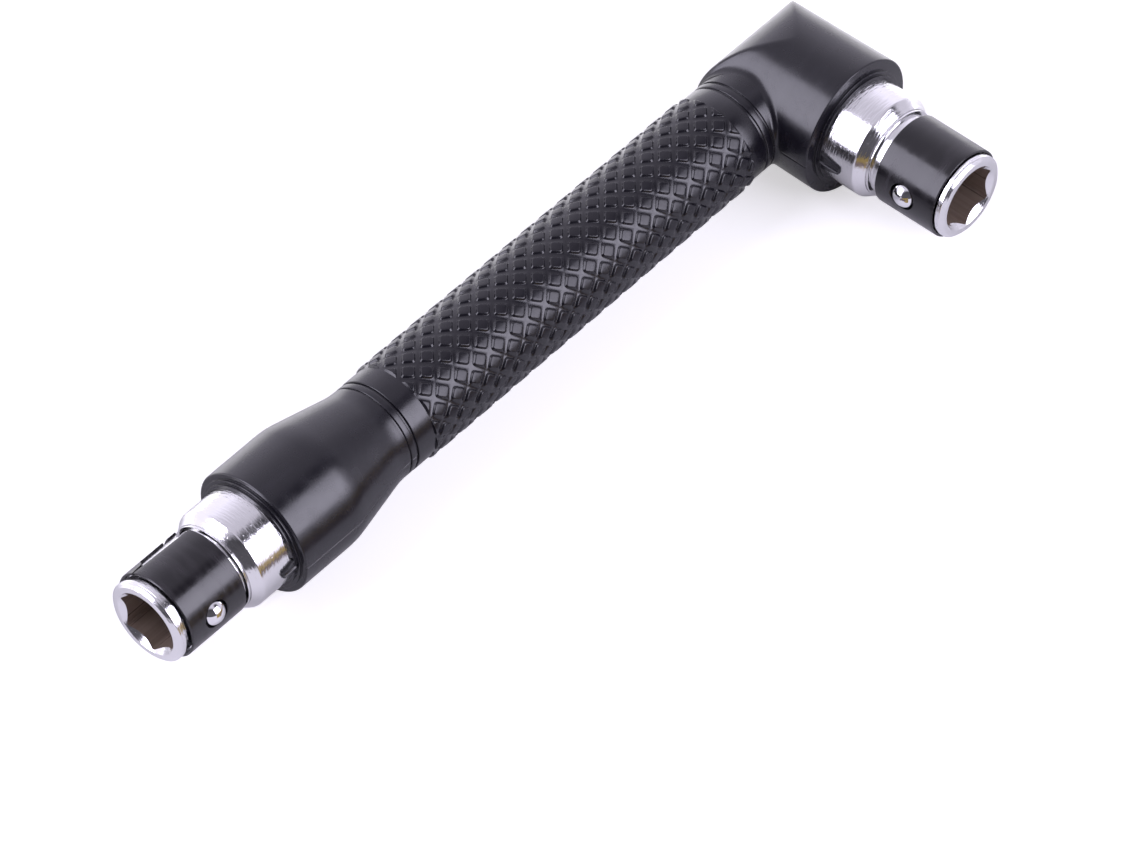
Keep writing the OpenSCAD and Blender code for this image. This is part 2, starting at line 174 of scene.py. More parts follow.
def mouth_corners(r, top, bore_end, edge):
    """Corners of a moulded mouth: rounded edge, two steps round the steel, then the bore."""
    corners = [(top, r, edge)]
    height = 0
    for out, rise in MOUTH_STEPS:
        corners += [(top + height, FERRULE_R + out, STEP_EDGE), (top + rise, FERRULE_R + out, STEP_EDGE)]
        height = rise
    return corners + [(top + height, FERRULE_R, STEP_EDGE), (bore_end, FERRULE_R, 0), (bore_end, 0, 0)]


def ring_group(r, start):
    """Corners of a bead between two grooves on a neck."""
    bead = start + GROOVE_W
    end = bead + BEAD_W
    low = r - GROOVE_D
    return [
        (start, low, GROOVE_EDGE), (bead, low, GROOVE_EDGE),
        (bead, r, BEAD_EDGE), (end, r, BEAD_EDGE),
        (end, low, GROOVE_EDGE), (end + GROOVE_W, low, GROOVE_EDGE),
    ]


ring_l = 2 * GROOVE_W + BEAD_W
around = [i * 360 / FACETS for i in range(FACETS)]
seamed = sorted({*around, 90 - SEAM_TURN, 90 + SEAM_TURN, 270 - SEAM_TURN, 270 + SEAM_TURN})

arm = bmesh.new()
arm_outline = soften([
    (ARM_START, 0, 0), (ARM_START, NECK_R, 0), (GRIP_START - ring_l, NECK_R, GROOVE_EDGE),
    *ring_group(NECK_R, GRIP_START - ring_l),
    (GRIP_START, CORE_R, 0), (GRIP_END, CORE_R, 0),
    *ring_group(FRONT_NECK_R, GRIP_END),
    (GRIP_END + ring_l, FRONT_NECK_R, GROOVE_EDGE),
    (TAPER_START, FRONT_NECK_R, TAPER_SWEEP), (BELL_START, BELL_R, BELL_SWEEP),
    *mouth_corners(BELL_R, BELL_MOUTH, BELL_MOUTH - BURIED_L, BELL_EDGE),
])
turned(arm, down_handle, arm_outline, seamed, len(arm_outline) - INNER_ROWS)
handle = made_from(arm, "handle_moulding")

# The head is a slightly drafted cylinder whose closed end is rolled over about an axis along the handle.
roller_r = HEAD_MOUTH_R - HEAD_DRAFT / 3
roller_back = roller_r - CLOSED_END


def head_r(s):
    return HEAD_MOUTH_R - HEAD_DRAFT * (HEAD_MOUTH - s) / (HEAD_MOUTH + CLOSED_END + 1)


def back_at(rise):
    return roller_back - math.sqrt(roller_r ** 2 - rise ** 2)


head = bmesh.new()
head_outline = soften([
    (HEAD_MOUTH - 1, head_r(HEAD_MOUTH - 1), 0),
    *mouth_corners(HEAD_MOUTH_R, HEAD_MOUTH, HEAD_MOUTH - BURIED_L, HEAD_EDGE),
])
head_rings = turned(head, down_head, head_outline, seamed, len(head_outline) - INNER_ROWS)
columns = []
for i, turn in enumerate(seamed):
    lean = math.cos(math.radians(turn))
    end = back_at(lean * head_r(-CLOSED_END / 2))
    for _ in range(3):
        end = back_at(lean * head_r(end))
    dip = SEAM_D if turn in (90, 270) else 0
    column = [head_rings[0][i]]
    pole = turn in (0, 180)
    last = end + (0 if pole else CREASE)
    for row in range(1, SIDE_ROWS + 1):
        s = HEAD_MOUTH - 1 + (last - HEAD_MOUTH + 1) * row / SIDE_ROWS
        column.append(head.verts.new(down_head(s, turn, head_r(s) - dip)))
    columns.append((column, end, lean * head_r(end), abs(math.sin(math.radians(turn))) * head_r(end)))
half = len(seamed) // 2
back_rows = []
for i in range(half + 1):
    column, end, rise, side = columns[i]
    opposite = columns[-i][0] if i else column
    if i in (0, half):
        back_rows.append([column[-1]] * (BACK_POINTS + 4))
        continue
    inset = min(CREASE, 0.45 * side)
    dip = SEAM_D if seamed[i] == 90 else 0

    def back_point(x, drop=0.0):
        return head.verts.new((ELBOW + Vector((x, -end - dip - drop, rise))) * MM)

    crease_drop = 0.25 * CREASE
    crease_x = side - 0.25 * inset
    row = [column[-1], back_point(-crease_x, crease_drop)]
    for j in range(BACK_POINTS):
        row.append(back_point((inset - side) * (1 - 2 * j / (BACK_POINTS - 1))))
    row += [back_point(crease_x, crease_drop), opposite[-1]]
    back_rows.append(row)
for i in range(len(seamed)):
    stitch(head, columns[i][0], columns[(i + 1) % len(seamed)][0], closed=False)
for row, following in zip(back_rows, back_rows[1:]):
    stitch(head, row, following, closed=False)
head_shell = made_from(head, "head_shell")

# A small fillet softens the corner between neck and head, as far as the head's back edge leaves room.
fillet = bmesh.new()
sections = []
for turn in seamed:
    angle = math.radians(turn)
    y, z = -math.sin(angle), math.cos(angle)

    def head_face(r):
        return math.sqrt(head_r(-y * r) ** 2 - (z * r) ** 2)

    edge = -roller_back * y + math.sqrt(roller_r ** 2 - (roller_back * z) ** 2)
    meet = head_face(NECK_R)
    out = max(FILLET_LEAST, min(FILLET, 0.8 * (edge - NECK_R - CREASE)))
    along = max(FILLET_LEAST, min(FILLET, GRIP_START - ring_l - meet - 0.03))
    start = Vector((meet + along, NECK_R - FILLET_SUNK))
    corner = Vector((meet, NECK_R))
    finish = Vector((head_face(NECK_R + out) - FILLET_SUNK, NECK_R + out))
    section = []
    for k in range(FILLET_STEPS + 1):
        t = k / FILLET_STEPS
        section.append(start * (1 - t) ** 2 + corner * 2 * t * (1 - t) + finish * t * t)
    section.append(Vector((meet - FILLET_ROOT, NECK_R - FILLET_ROOT)))
    sections.append([fillet.verts.new(down_handle(s, turn, r)) for s, r in section])
for i, section in enumerate(sections):
    stitch(fillet, section, sections[(i + 1) % len(sections)])
fillet_ring = made_from(fillet, "fillet_ring")


def moulded_key(place, mouth, length):
    """The tapered tooth that stands out of a mouth into the slot of the ferrule, in the L's plane."""
    floor_r, top_r = FERRULE_R - KEY_FLOOR, FERRULE_R + KEY_RISE
    end, tip = mouth + length, KEY_TIP / 2
    root = tip + KEY_FLARE * length
    tooth = bmesh.new()
    rings = []
    for s, half_w, drop in (
        (mouth - KEY_SUNK, root, 0), (mouth, root, 0), (end - KEY_EDGE, tip + KEY_FLARE * KEY_EDGE, 0),
        (end - 0.3 * KEY_EDGE, tip, 0.3 * KEY_EDGE), (end, tip - KEY_EDGE, KEY_EDGE),
    ):
        spread = [half_w * k / 3 for k in range(-3, 4)]
        ring = [(math.hypot(floor_r, w), math.degrees(math.atan2(w, floor_r))) for w in spread]
        high = top_r - drop - KEY_EDGE
        for side, turns in ((1, (0, 30, 60, 90)), (-1, (90, 60, 30, 0))):
            for turn in turns:
                angle = math.radians(turn)
                r = high + KEY_EDGE * math.sin(angle)
                w = half_w - KEY_EDGE + KEY_EDGE * math.cos(angle)
                ring.append((r, side * math.degrees(math.asin(w / r))))
            if side == 1:
                ring += [(high + KEY_EDGE + rise, math.degrees(w / top_r)) for w, rise in KEY_RIDGE]
        rings.append([tooth.verts.new(place(s, 90 + t, r)) for r, t in ring])
    for ring, following in zip(rings, rings[1:]):
        stitch(tooth, ring, following)
    tooth.faces.new(rings[0])
    tooth.faces.new(rings[-1])
    return made_from(tooth, "key")


combine(handle, [head_shell, fillet_ring], "UNION")
combine(handle, [
    moulded_key(down_handle, BELL_MOUTH, STRAIGHT_KEY_L),
    moulded_key(down_head, HEAD_MOUTH, ANGLE_KEY_L),
], "UNION")
even_shade(handle)


def finish_of(name):
    """A new finish, with its nodes, its links and its surface shader."""
    finish = bpy.data.materials.new(name)
    finish.use_nodes = True
    tree = finish.node_tree
    return finish, tree.nodes, tree.links, tree.nodes["Principled BSDF"]


def grain_of(nodes, links, scale, detail=2.0, stretch=(1.0, 1.0, 1.0)):
    """Noise that stays with the piece, drawn finer along an axis by its stretch."""
    place = nodes.new("ShaderNodeTexCoord")
    stretched = nodes.new("ShaderNodeMapping")
    stretched.inputs["Scale"].default_value = stretch
    grain = nodes.new("ShaderNodeTexNoise")
    grain.inputs["Scale"].default_value = scale
    grain.inputs["Detail"].default_value = detail
    links.new(place.outputs["Object"], stretched.inputs["Vector"])
    links.new(stretched.outputs["Vector"], grain.inputs["Vector"])
    return grain.outputs["Fac"]


def spread_of(nodes, links, value, start, end, low, high):
    """Takes a value from the range start to end into the range low to high."""
    spread = nodes.new("ShaderNodeMapRange")
    for name, number in (("From Min", start), ("From Max", end), ("To Min", low), ("To Max", high)):
        spread.inputs[name].default_value = number
    links.new(value, spread.inputs["Value"])
    return spread.outputs["Result"]


def blend_of(nodes, links, share, first, second):
    """A colour between the first and the second."""
    blend = nodes.new("ShaderNodeMix")
    blend.data_type = "RGBA"
    blend.inputs["A"].default_value = (*first, 1.0)
    blend.inputs["B"].default_value = (*second, 1.0)
    links.new(share, blend.inputs["Factor"])
    return blend.outputs["Result"]


def emboss(nodes, links, heights, surface):
    """Adds fine relief: each height is (value, depth in metres)."""
    normal = None
    for value, depth in heights:
        bump = nodes.new("ShaderNodeBump")
        bump.inputs["Distance"].default_value = depth
        links.new(value, bump.inputs["Height"])
        if normal:
            links.new(normal, bump.inputs["Normal"])
        normal = bump.outputs["Normal"]
    links.new(normal, surface.inputs["Normal"])


PLASTIC_BLACK, PLASTIC_WORN = (0.0042, 0.0036, 0.0068), (0.008, 0.0072, 0.0115)


def black_plastic(name, gloss, dull, ior):
    """Black moulded plastic: mottled gloss, worn streaks, a soft sink and a fine mould texture."""
    finish, nodes, links, surface = finish_of(name)
    mottle = grain_of(nodes, links, 700.0, 4.0)
    scuffs = grain_of(nodes, links, 260.0, 6.0, (1.0, 3.0, 0.6))
    tone = spread_of(nodes, links, scuffs, 0.52, 0.75, 0.0, 1.0)
    links.new(blend_of(nodes, links, tone, PLASTIC_BLACK, PLASTIC_WORN), surface.inputs["Base Color"])
    links.new(spread_of(nodes, links, mottle, 0.3, 0.7, gloss, dull), surface.inputs["Roughness"])
    surface.inputs["IOR"].default_value = ior
    emboss(nodes, links, [
        (grain_of(nodes, links, 130.0, 1.0), 0.00004),
        (grain_of(nodes, links, 2600.0, 2.0), 0.000002),
    ], surface)
    return finish


handle.data.materials.clear()
handle.data.materials.append(black_plastic("handle_plastic", 0.22, 0.29, 1.53))
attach(handle, "driver")
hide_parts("handle")

# Grip sleeve: a second shot of black plastic over the handle's core, between the two ring groups.
# Raised diamond pads with sloped walls cover it, fourteen round, and plain circles cut the end pads.
PADS_START, PADS_END = 60.41, 11.5
PADS_ALONG, PADS_ROUND = 17.5, 14
PAD_TURN = 45.9
GRIP_ELBOW_R, GRIP_BELL_R = 5.5, 5.58
SLEEVE_EDGE, SLEEVE_SLACK, BAND_LEAD = 0.1, 0.005, 0.12
DRAW_TURN, DRAW_STEPS, DRAW_SHARE = 18, 36, 0.8
# Points along each corner of a pad, and their steps back from the corner of its cell
CORNER_POINTS = 5
CELL_STEPS = (0, 0, 0, 0.2, 0.4)
# Each level of a pad: its share of the cell, its corners' radius, its height and its inset at a cut end
PAD_LEVELS = (
    (1.0, 0.0, 0.0, 0.0), (0.80, 0.17, 0.0, 0.0), (0.765, 0.16, 0.012, 0.01), (0.735, 0.15, 0.04, 0.02),
    (0.645, 0.135, 0.175, 0.05), (0.61, 0.13, 0.212, 0.065), (0.56, 0.12, 0.234, 0.08),
    (0.50, 0.11, 0.24, 0.10), (0.25, 0.06, 0.24, 0.14),
)
TOP_LEVEL, CUT_MIDDLE = 6, 0.18
pad_pitch = (PADS_START - PADS_END) / PADS_ALONG
row_turn = 360 / PADS_ROUND


def skin_r(s):
    return GRIP_ELBOW_R + (GRIP_BELL_R - GRIP_ELBOW_R) * (s - GRIP_START) / (GRIP_END - GRIP_START)


def pad_ring(share, corner):
    """Points round a pad as (along, round) steps from its middle, with rounded corners."""
    size = share / 2
    ring = []
    for quarter in range(4):
        for k in range(CORNER_POINTS):
            if corner:
                angle = math.radians(90 * k / (CORNER_POINTS - 1))
                p = size - corner + corner * math.cos(angle)
                q = size - corner + corner * math.sin(angle)
            else:
                p = size - CELL_STEPS[k]
                q = size - CELL_STEPS[-1 - k]
            for _ in range(quarter):
                p, q = -q, p
            ring.append(((p - q) / 2, (p + q) / 2))
    return ring


def lift_at(u, v):
    """Height of the pads at a place, from how far it lies towards the edge of its diamond cell."""
    if not 0 < u < PADS_ALONG:
        return 0.0
    share = 2 * max(abs((u + v + 0.5) % 1 - 0.5), abs((u - v + 0.5) % 1 - 0.5))
    for (outer, _, low, _), (inner, _, high, _) in zip(PAD_LEVELS, PAD_LEVELS[1:]):
        if share >= inner:
            return low + (high - low) * (outer - share) / (outer - inner)
    return PAD_LEVELS[-1][2]


def pad_point(mesh, u, v, lift):
    """A point of the sleeve. The moulds draw up and down, so near the mould line it leaves no undercut."""
    s = PADS_START - u * pad_pitch
    turn = PAD_TURN - v * row_turn
    r = skin_r(s) + lift
    out = r * abs(math.sin(math.radians(turn)))
    rise = r * math.cos(math.radians(turn))
    if out > DRAW_SHARE * r:
        inward = 1 if (turn % 180) < 90 else -1
        for k in range(1, DRAW_STEPS + 1):
            above = turn - inward * k * DRAW_TURN / DRAW_STEPS
            reach = skin_r(s) + lift_at(u, (PAD_TURN - above) / row_turn)
            out = max(out, reach * abs(math.sin(math.radians(above))))
    side = math.copysign(out, math.sin(math.radians(turn)))
    return mesh.verts.new(down_handle(s, math.degrees(math.atan2(side, rise)), math.hypot(side, rise)))


sleeve = bmesh.new()
for row in range(2 * PADS_ROUND):
    for k in range(math.ceil(PADS_ALONG)):
        u, v = k + (row % 2) / 2, row / 2
        rings = []
        for share, corner, lift, inset in PAD_LEVELS:
            ring = []
            for du, dv in pad_ring(share, corner):
                if u == 0:
                    du = max(du, inset)
                elif u == PADS_ALONG:
                    du = min(du, -inset)
                if u in (0, PADS_ALONG):
                    dv = math.copysign(min(abs(dv), max(0.0, share / 2 - abs(du))), dv)
                ring.append(pad_point(sleeve, u + du, v + dv, lift))
            rings.append(ring)
        middle = {0: CUT_MIDDLE, PADS_ALONG: -CUT_MIDDLE}.get(u, 0.0)
        rings.append([pad_point(sleeve, u + middle, v, PAD_LEVELS[-1][2])] * len(rings[0]))
        for level, (ring, following) in enumerate(zip(rings, rings[1:])):
            for face in stitch(sleeve, ring, following):
                face.material_index = int(level >= TOP_LEVEL)
bmesh.ops.remove_doubles(sleeve, verts=sleeve.verts, dist=2e-6)


def carry_rim(rim, s, r):
    """Draws an open rim of the sleeve out to a new ring."""
    drawn = bmesh.ops.extrude_edge_only(sleeve, edges=rim)["geom"]
    for vert in drawn:
        if isinstance(vert, bmesh.types.BMVert):
            side, up = ELBOW.y * MM - vert.co.y, vert.co.z - ELBOW.z * MM
            vert.co = down_handle(s, math.degrees(math.atan2(side, up)), r)
    return [edge for edge in drawn if isinstance(edge, bmesh.types.BMEdge)]


open_edges = [edge for edge in sleeve.edges if edge.is_boundary]
middle_x = (ELBOW.x - (PADS_START + PADS_END) / 2) * MM
ends = []
for end, inward, rim in (
    (GRIP_END, -1, [edge for edge in open_edges if edge.verts[0].co.x < middle_x]),
    (GRIP_START, 1, [edge for edge in open_edges if edge.verts[0].co.x > middle_x]),
):
    r = skin_r(end)
    plain = (abs(end - PADS_START) if inward < 0 else abs(end - PADS_END)) - BAND_LEAD
    for back, drop in (
        (plain, 0), (SLEEVE_EDGE, 0), (0.3 * SLEEVE_EDGE, 0.3 * SLEEVE_EDGE), (0, SLEEVE_EDGE),
    ):
        rim = carry_rim(rim, end + inward * back, r - drop)
    ends += carry_rim(rim, end, CORE_R + SLEEVE_SLACK)
bmesh.ops.bridge_loops(sleeve, edges=ends)
grip = made_from(sleeve, "grip_pads", sharp=70)
even_shade(grip)
grip.data.materials.append(black_plastic("grip_plastic", 0.22, 0.29, 1.53))
grip.data.materials.append(black_plastic("pad_plastic", 0.25, 0.33, 1.45))
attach(grip, "driver")
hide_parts("grip_sleeve")

# Bit holders: turned from steel bar and plated bright, with a broached hex socket in the nose.
# A recess behind the nose ring beds the collar, and the ferrule behind the cone is moulded into the handle.
HOLDER_OUT, HOLDER_L = 15.6, 24.5
HEX_FLATS, HEX_CORNER_R, SOCKET_L, SOCKET_CONE = 6.4, 3.62, 12.0, 1.2
LEAD_R = HEX_FLATS / math.sqrt(3) + 0.08
NOSE_R, NOSE_L, NOSE_LAND_R, NOSE_CHAMFER = 4.78, 0.88, 4.40, 0.32
NOSE_LINE_START, NOSE_LINE_END, NOSE_LINE_SLOPE, NOSE_LINE_D = 0.47, 0.60, 0.03, 0.035
RECESS_R, RECESS_END = 4.55, 9.61
BED_R, BED_START, BED_END = 4.79, 2.1, 8.2
SHOULDER_R, SHOULDER_END, NECKING_D = 5.04, RECESS_END + 0.2, 0.1
CONE_R, CONE_START, CONE_END = SHOULDER_R + 0.07, 9.93, 11.03
ANCHOR_R, ANCHOR_START, ANCHOR_END = FERRULE_R - 0.5, 20.0, 21.5
TAIL_CHAMFER = 0.4
STRAIGHT_BALL_TURN, ANGLE_BALL_TURN = 80, 82
BALL_BACK, SEAT_R = 5.07, 1.53
SEAT_FLOOR, SEAT_TOP = 3.36, 6.5
LIP_R, LIP_START, LIP_OVER = 1.27, 0.5, 0.2
SLOT_GAP, SLOT_TOP = 0.05, 7
PLATE_GREY, PLATE_BRIGHT = (0.70, 0.695, 0.705), (0.78, 0.775, 0.785)
SOCKET_BROWN, SOCKET_BARE = (0.17, 0.125, 0.10), (0.36, 0.28, 0.23)


def socket_r(turn):
    """Radius of the hex at a turn from the middle of its flat that holds the ball."""
    return min(HEX_CORNER_R, HEX_FLATS / 2 / math.cos(math.radians((turn + 30) % 60 - 30)))


def cut_rod(mesh, start, end, r, end_r, segments=48):
    """A round cutter between two points, tapered where its two radii differ."""
    axis = (end - start).normalized()
    side = axis.orthogonal().normalized()
    other = axis.cross(side)
    rows = []
    for point, reach in ((start, r), (end, end_r)):
        rows.append([
            mesh.verts.new(point + (side * math.cos(a) + other * math.sin(a)) * reach * MM)
            for a in (2 * math.pi * k / segments for k in range(segments))
        ])
    stitch(mesh, *rows)
    mesh.faces.new(rows[0])
    mesh.faces.new(rows[1])


def bit_holder(name, place, mouth, ball_turn, key_l, finishes):
    """A turned holder, its hex socket, and the cuts for its ball and for the handle's key."""
    nose = mouth + HOLDER_OUT
    steel = bmesh.new()
    outside = soften([
        (0, LEAD_R, 0), (0, NOSE_LAND_R, 0.14), (NOSE_CHAMFER, NOSE_R, 0.14),
        (NOSE_LINE_START, NOSE_R, 0.02), (NOSE_LINE_START + NOSE_LINE_SLOPE, NOSE_R - NOSE_LINE_D, 0.02),
        (NOSE_LINE_END - NOSE_LINE_SLOPE, NOSE_R - NOSE_LINE_D, 0.02), (NOSE_LINE_END, NOSE_R, 0.02),
        (NOSE_L, NOSE_R, 0.06), (NOSE_L, RECESS_R, 0.03), (BED_START, RECESS_R, 0.03),
        (BED_START, BED_R, 0.05), (BED_END, BED_R, 0.05), (BED_END, RECESS_R, 0.03),
        (RECESS_END, RECESS_R, 0.03), (RECESS_END, SHOULDER_R, 0.07), (SHOULDER_END, SHOULDER_R, 0.05),
        (SHOULDER_END, SHOULDER_R - NECKING_D, 0.02), (CONE_START, SHOULDER_R - NECKING_D, 0.02),
        (CONE_START, CONE_R, 0.06), (CONE_END, FERRULE_R, 0.5), (ANCHOR_START, FERRULE_R, 0),
        (ANCHOR_START, ANCHOR_R, 0), (ANCHOR_END, ANCHOR_R, 0), (ANCHOR_END, FERRULE_R, 0),
        (HOLDER_L - TAIL_CHAMFER, FERRULE_R, 0), (HOLDER_L, FERRULE_R - TAIL_CHAMFER, 0), (HOLDER_L, 0, 0),
    ], steps=4)
    deep = [steel.verts.new(place(nose - SOCKET_L - SOCKET_CONE, 0, 0))] * len(around)
    floor_ring, lead_ring = [], []
    for turn in around:
        r = socket_r(turn)
        floor_ring.append(steel.verts.new(place(nose - SOCKET_L, ball_turn + turn, r)))
        lead_ring.append(steel.verts.new(place(nose - (LEAD_R - r), ball_turn + turn, r)))
    for face in stitch(steel, deep, floor_ring) + stitch(steel, floor_ring, lead_ring):
        face.material_index = 1
    rings = turned(steel, lambda s, t, r: place(nose - s, ball_turn + t, r), outside, around)
    stitch(steel, lead_ring, rings[0])
    holder = made_from(steel, name, sharp=25)
    for finish in finishes:
        holder.data.materials.append(finish)
    ball_s = nose - BALL_BACK
    seat = bmesh.new()
    cut_rod(seat, place(ball_s, ball_turn, SEAT_FLOOR), place(ball_s, ball_turn, SEAT_TOP), SEAT_R, SEAT_R)
    lip = bmesh.new()
    lip_end = SEAT_FLOOR + LIP_OVER
    cut_rod(lip, place(ball_s, ball_turn, LIP_START), place(ball_s, ball_turn, lip_end), LIP_R, LIP_R)
    slot = bmesh.new()
    floor_r = FERRULE_R - KEY_FLOOR - SLOT_GAP
    tip = KEY_TIP / 2 + SLOT_GAP
    root = tip + KEY_FLARE * key_l
    rows = []
    for s, half_w in ((mouth - BURIED_L - 1, root), (mouth, root), (mouth + key_l + SLOT_GAP, tip)):
        rows.append([
            slot.verts.new(place(s, 90 + math.degrees(math.atan2(w, r)), math.hypot(r, w)))
            for r, w in ((floor_r, -half_w), (floor_r, half_w), (SLOT_TOP, half_w), (SLOT_TOP, -half_w))
        ])
    for row, following in zip(rows, rows[1:]):
        stitch(slot, row, following)
    slot.faces.new(rows[0])
    slot.faces.new(rows[-1])
    combine(holder, [made_from(cut, "cut") for cut in (seat, lip, slot)], "DIFFERENCE", sharp=25)
    even_shade(holder)
    return holder


def bright_plate(name, along):
    """Bright plating over turned steel: lines round the piece, a soft ripple and a few pits."""
    finish, nodes, links, surface = finish_of(name)
    surface.inputs["Metallic"].default_value = 1.0
    haze = grain_of(nodes, links, 600.0, 3.0)
    links.new(blend_of(nodes, links, haze, PLATE_GREY, PLATE_BRIGHT), surface.inputs["Base Color"])
    links.new(spread_of(nodes, links, haze, 0.3, 0.7, 0.09, 0.18), surface.inputs["Roughness"])
    lined = tuple(4200.0 if axis == along else 700.0 for axis in "xyz")
    pits = spread_of(nodes, links, grain_of(nodes, links, 3200.0, 1.0), 0.70, 0.76, 1.0, 0.0)
    emboss(nodes, links, [
        (grain_of(nodes, links, 350.0, 1.0), 0.000014),
        (grain_of(nodes, links, 1.0, 3.0, lined), 0.000045),
        (pits, 0.000006),
    ], surface)
    return finish


def socket_steel(name, along):
    """Bare steel inside the socket, browned by oil, with the broach's lines along it."""
    finish, nodes, links, surface = finish_of(name)
    surface.inputs["Metallic"].default_value = 0.5
    drawn = tuple(60.0 if axis == along else 3500.0 for axis in "xyz")
    lines = grain_of(nodes, links, 1.0, 3.0, drawn)
    links.new(blend_of(nodes, links, lines, SOCKET_BROWN, SOCKET_BARE), surface.inputs["Base Color"])
    links.new(spread_of(nodes, links, lines, 0.3, 0.7, 0.25, 0.42), surface.inputs["Roughness"])
    emboss(nodes, links, [(lines, 0.000006)], surface)
    return finish


for name, place, mouth, ball_turn, key_l, along in (
    ("straight_bit_holder", down_handle, BELL_MOUTH, STRAIGHT_BALL_TURN, STRAIGHT_KEY_L, "x"),
    ("angle_bit_holder", down_head, HEAD_MOUTH, ANGLE_BALL_TURN, ANGLE_KEY_L, "y"),
):
    finishes = (bright_plate(name + "_plate", along), socket_steel(name + "_socket", along))
    holder = bit_holder(name + "_steel", place, mouth, ball_turn, key_l, finishes)
    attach(holder, "driver")
    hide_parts(name)


# Collars: split rings of spring steel, blackened and satin, snapped into the recesses of the holders.
# Each has a slit that widens towards one end, with a notch, and a hole over its ball. Handling has
# scuffed them.
COLLAR_BORE, COLLAR_R, COLLAR_L = 4.83, 5.10, 7.62
COLLAR_EDGE, BORE_EDGE, BORE_LEAD = 0.10, 0.05, 0.06
COLLAR_ROWS, COLLAR_COLUMNS = 25, 180
HOLE_R, HOLE_EDGE = 1.53, 0.10
HOLE_CUT, NOTCH_CUT = (3, 6), (4, 6)
# Edges of the slit as (share of the length, turn), from its narrow end to its wide end
SLIT_NEAR = ((0, 1.5), (1, 6.6))
SLIT_FAR = ((0, -1.0), (0.22, -4.0), (0.32, -26.5), (1, -26.5))
NOTCH_START, NOTCH_END, NOTCH_LIP, NOTCH_TURN = 0.76, 0.85, -20, -58.0
COLLAR_BLACK, COLLAR_WORN = (0.0075, 0.0065, 0.0085), (0.022, 0.0195, 0.0235)


def edge_turn(edge, share):
    """Turn of an edge of the slit at a share of the collar's length."""
    for (start, first), (end, last) in zip(edge, edge[1:]):
        if share <= end:
            break
    return first + (last - first) * (share - start) / (end - start)


def spring_collar(name, place, nose, front, ball_turn, slit_turn, flipped, finish):
    """A split ring that starts front mm behind the nose, its slit's narrow end there unless flipped."""
    back = front + COLLAR_L
    rows = [front + COLLAR_L * k / COLLAR_ROWS for k in range(2, COLLAR_ROWS - 1)]
    outline = soften([
        (front + BORE_LEAD * COLLAR_L, COLLAR_BORE, 0), (front, COLLAR_BORE, BORE_EDGE),
        (front, COLLAR_R, COLLAR_EDGE), *((s, COLLAR_R, 0) for s in rows), (back, COLLAR_R, COLLAR_EDGE),
        (back, COLLAR_BORE, BORE_EDGE), *((s, COLLAR_BORE, 0) for s in reversed(rows)),
    ])
    strip = bmesh.new()
    sections = []
    for k in range(COLLAR_COLUMNS + 1):
        section = []
        for s, r in outline:
            share = (s - front) / COLLAR_L
            share = min(1, max(0, 1 - share if flipped else share))
            first = edge_turn(SLIT_NEAR, share)
            last = edge_turn(SLIT_FAR, share) + 360
            turn = first + (last - first) * k / COLLAR_COLUMNS
            section.append(strip.verts.new(place(nose - s, slit_turn + (-turn if flipped else turn), r)))
        sections.append(section)
    for section, following in zip(sections, sections[1:]):
        stitch(strip, section, following)
    for section in (sections[0], sections[-1]):
        strip.faces.new(section)
    collar = made_from(strip, name)
    ball_s = nose - BALL_BACK
    hole = bmesh.new()
    cut_rod(hole, *(place(ball_s, ball_turn, r) for r in HOLE_CUT), HOLE_R, HOLE_R)
    sink = bmesh.new()
    sunk = (COLLAR_R - HOLE_EDGE, COLLAR_R + HOLE_EDGE)
    cut_rod(sink, *(place(ball_s, ball_turn, r) for r in sunk), HOLE_R, HOLE_R + 2 * HOLE_EDGE)
    notch = bmesh.new()
    inner, outer = NOTCH_CUT
    corners = ((inner, NOTCH_LIP), (outer, NOTCH_LIP), (outer, NOTCH_TURN), (inner, NOTCH_TURN))
    ends = []
    for share in (NOTCH_START, NOTCH_END):
        s = front + COLLAR_L * (1 - share if flipped else share)
        ends.append([
            notch.verts.new(place(nose - s, slit_turn + (-turn if flipped else turn), r))
            for r, turn in corners
        ])
    stitch(notch, *ends)
    for end in ends:
        notch.faces.new(end)
    combine(collar, [made_from(cut, "cut") for cut in (hole, sink, notch)], "DIFFERENCE")
    even_shade(collar)
    collar.data.materials.append(finish)
    return collar


def satin_black(name, along):
    """Blackened spring steel, satin, with the scuffs of handling drawn round it."""
    finish, nodes, links, surface = finish_of(name)
    smear = grain_of(nodes, links, 300.0, 5.0, tuple(3.2 if axis == along else 0.7 for axis in "xyz"))
    scuff = spread_of(nodes, links, smear, 0.45, 0.75, 0.0, 1.0)
    links.new(blend_of(nodes, links, scuff, COLLAR_BLACK, COLLAR_WORN), surface.inputs["Base Color"])
    links.new(spread_of(nodes, links, smear, 0.3, 0.75, 0.17, 0.31), surface.inputs["Roughness"])
    surface.inputs["IOR"].default_value = 1.5
    emboss(nodes, links, [(grain_of(nodes, links, 4000.0, 2.0), 0.000002)], surface)
    return finish


for name, place, mouth, front, ball_turn, slit_turn, flipped, along in (
    ("straight_collar", down_handle, BELL_MOUTH, 1.55, STRAIGHT_BALL_TURN, -35, False, "x"),
    ("angle_collar", down_head, HEAD_MOUTH, 1.0, ANGLE_BALL_TURN, 197, True, "y"),
):
    finish = satin_black(name + "_black", along)
    nose = mouth + HOLDER_OUT
    collar = spring_collar(name + "_steel", place, nose, front, ball_turn, slit_turn, flipped, finish)
    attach(collar, "driver")
    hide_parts(name)


# Balls: hardened steel, ground and polished. Each lies loose in its seat in a holder's wall, and the
# collar round it presses it into the socket.
BALL_GREY, BALL_BRIGHT = (0.74, 0.735, 0.75), (0.84, 0.835, 0.85)


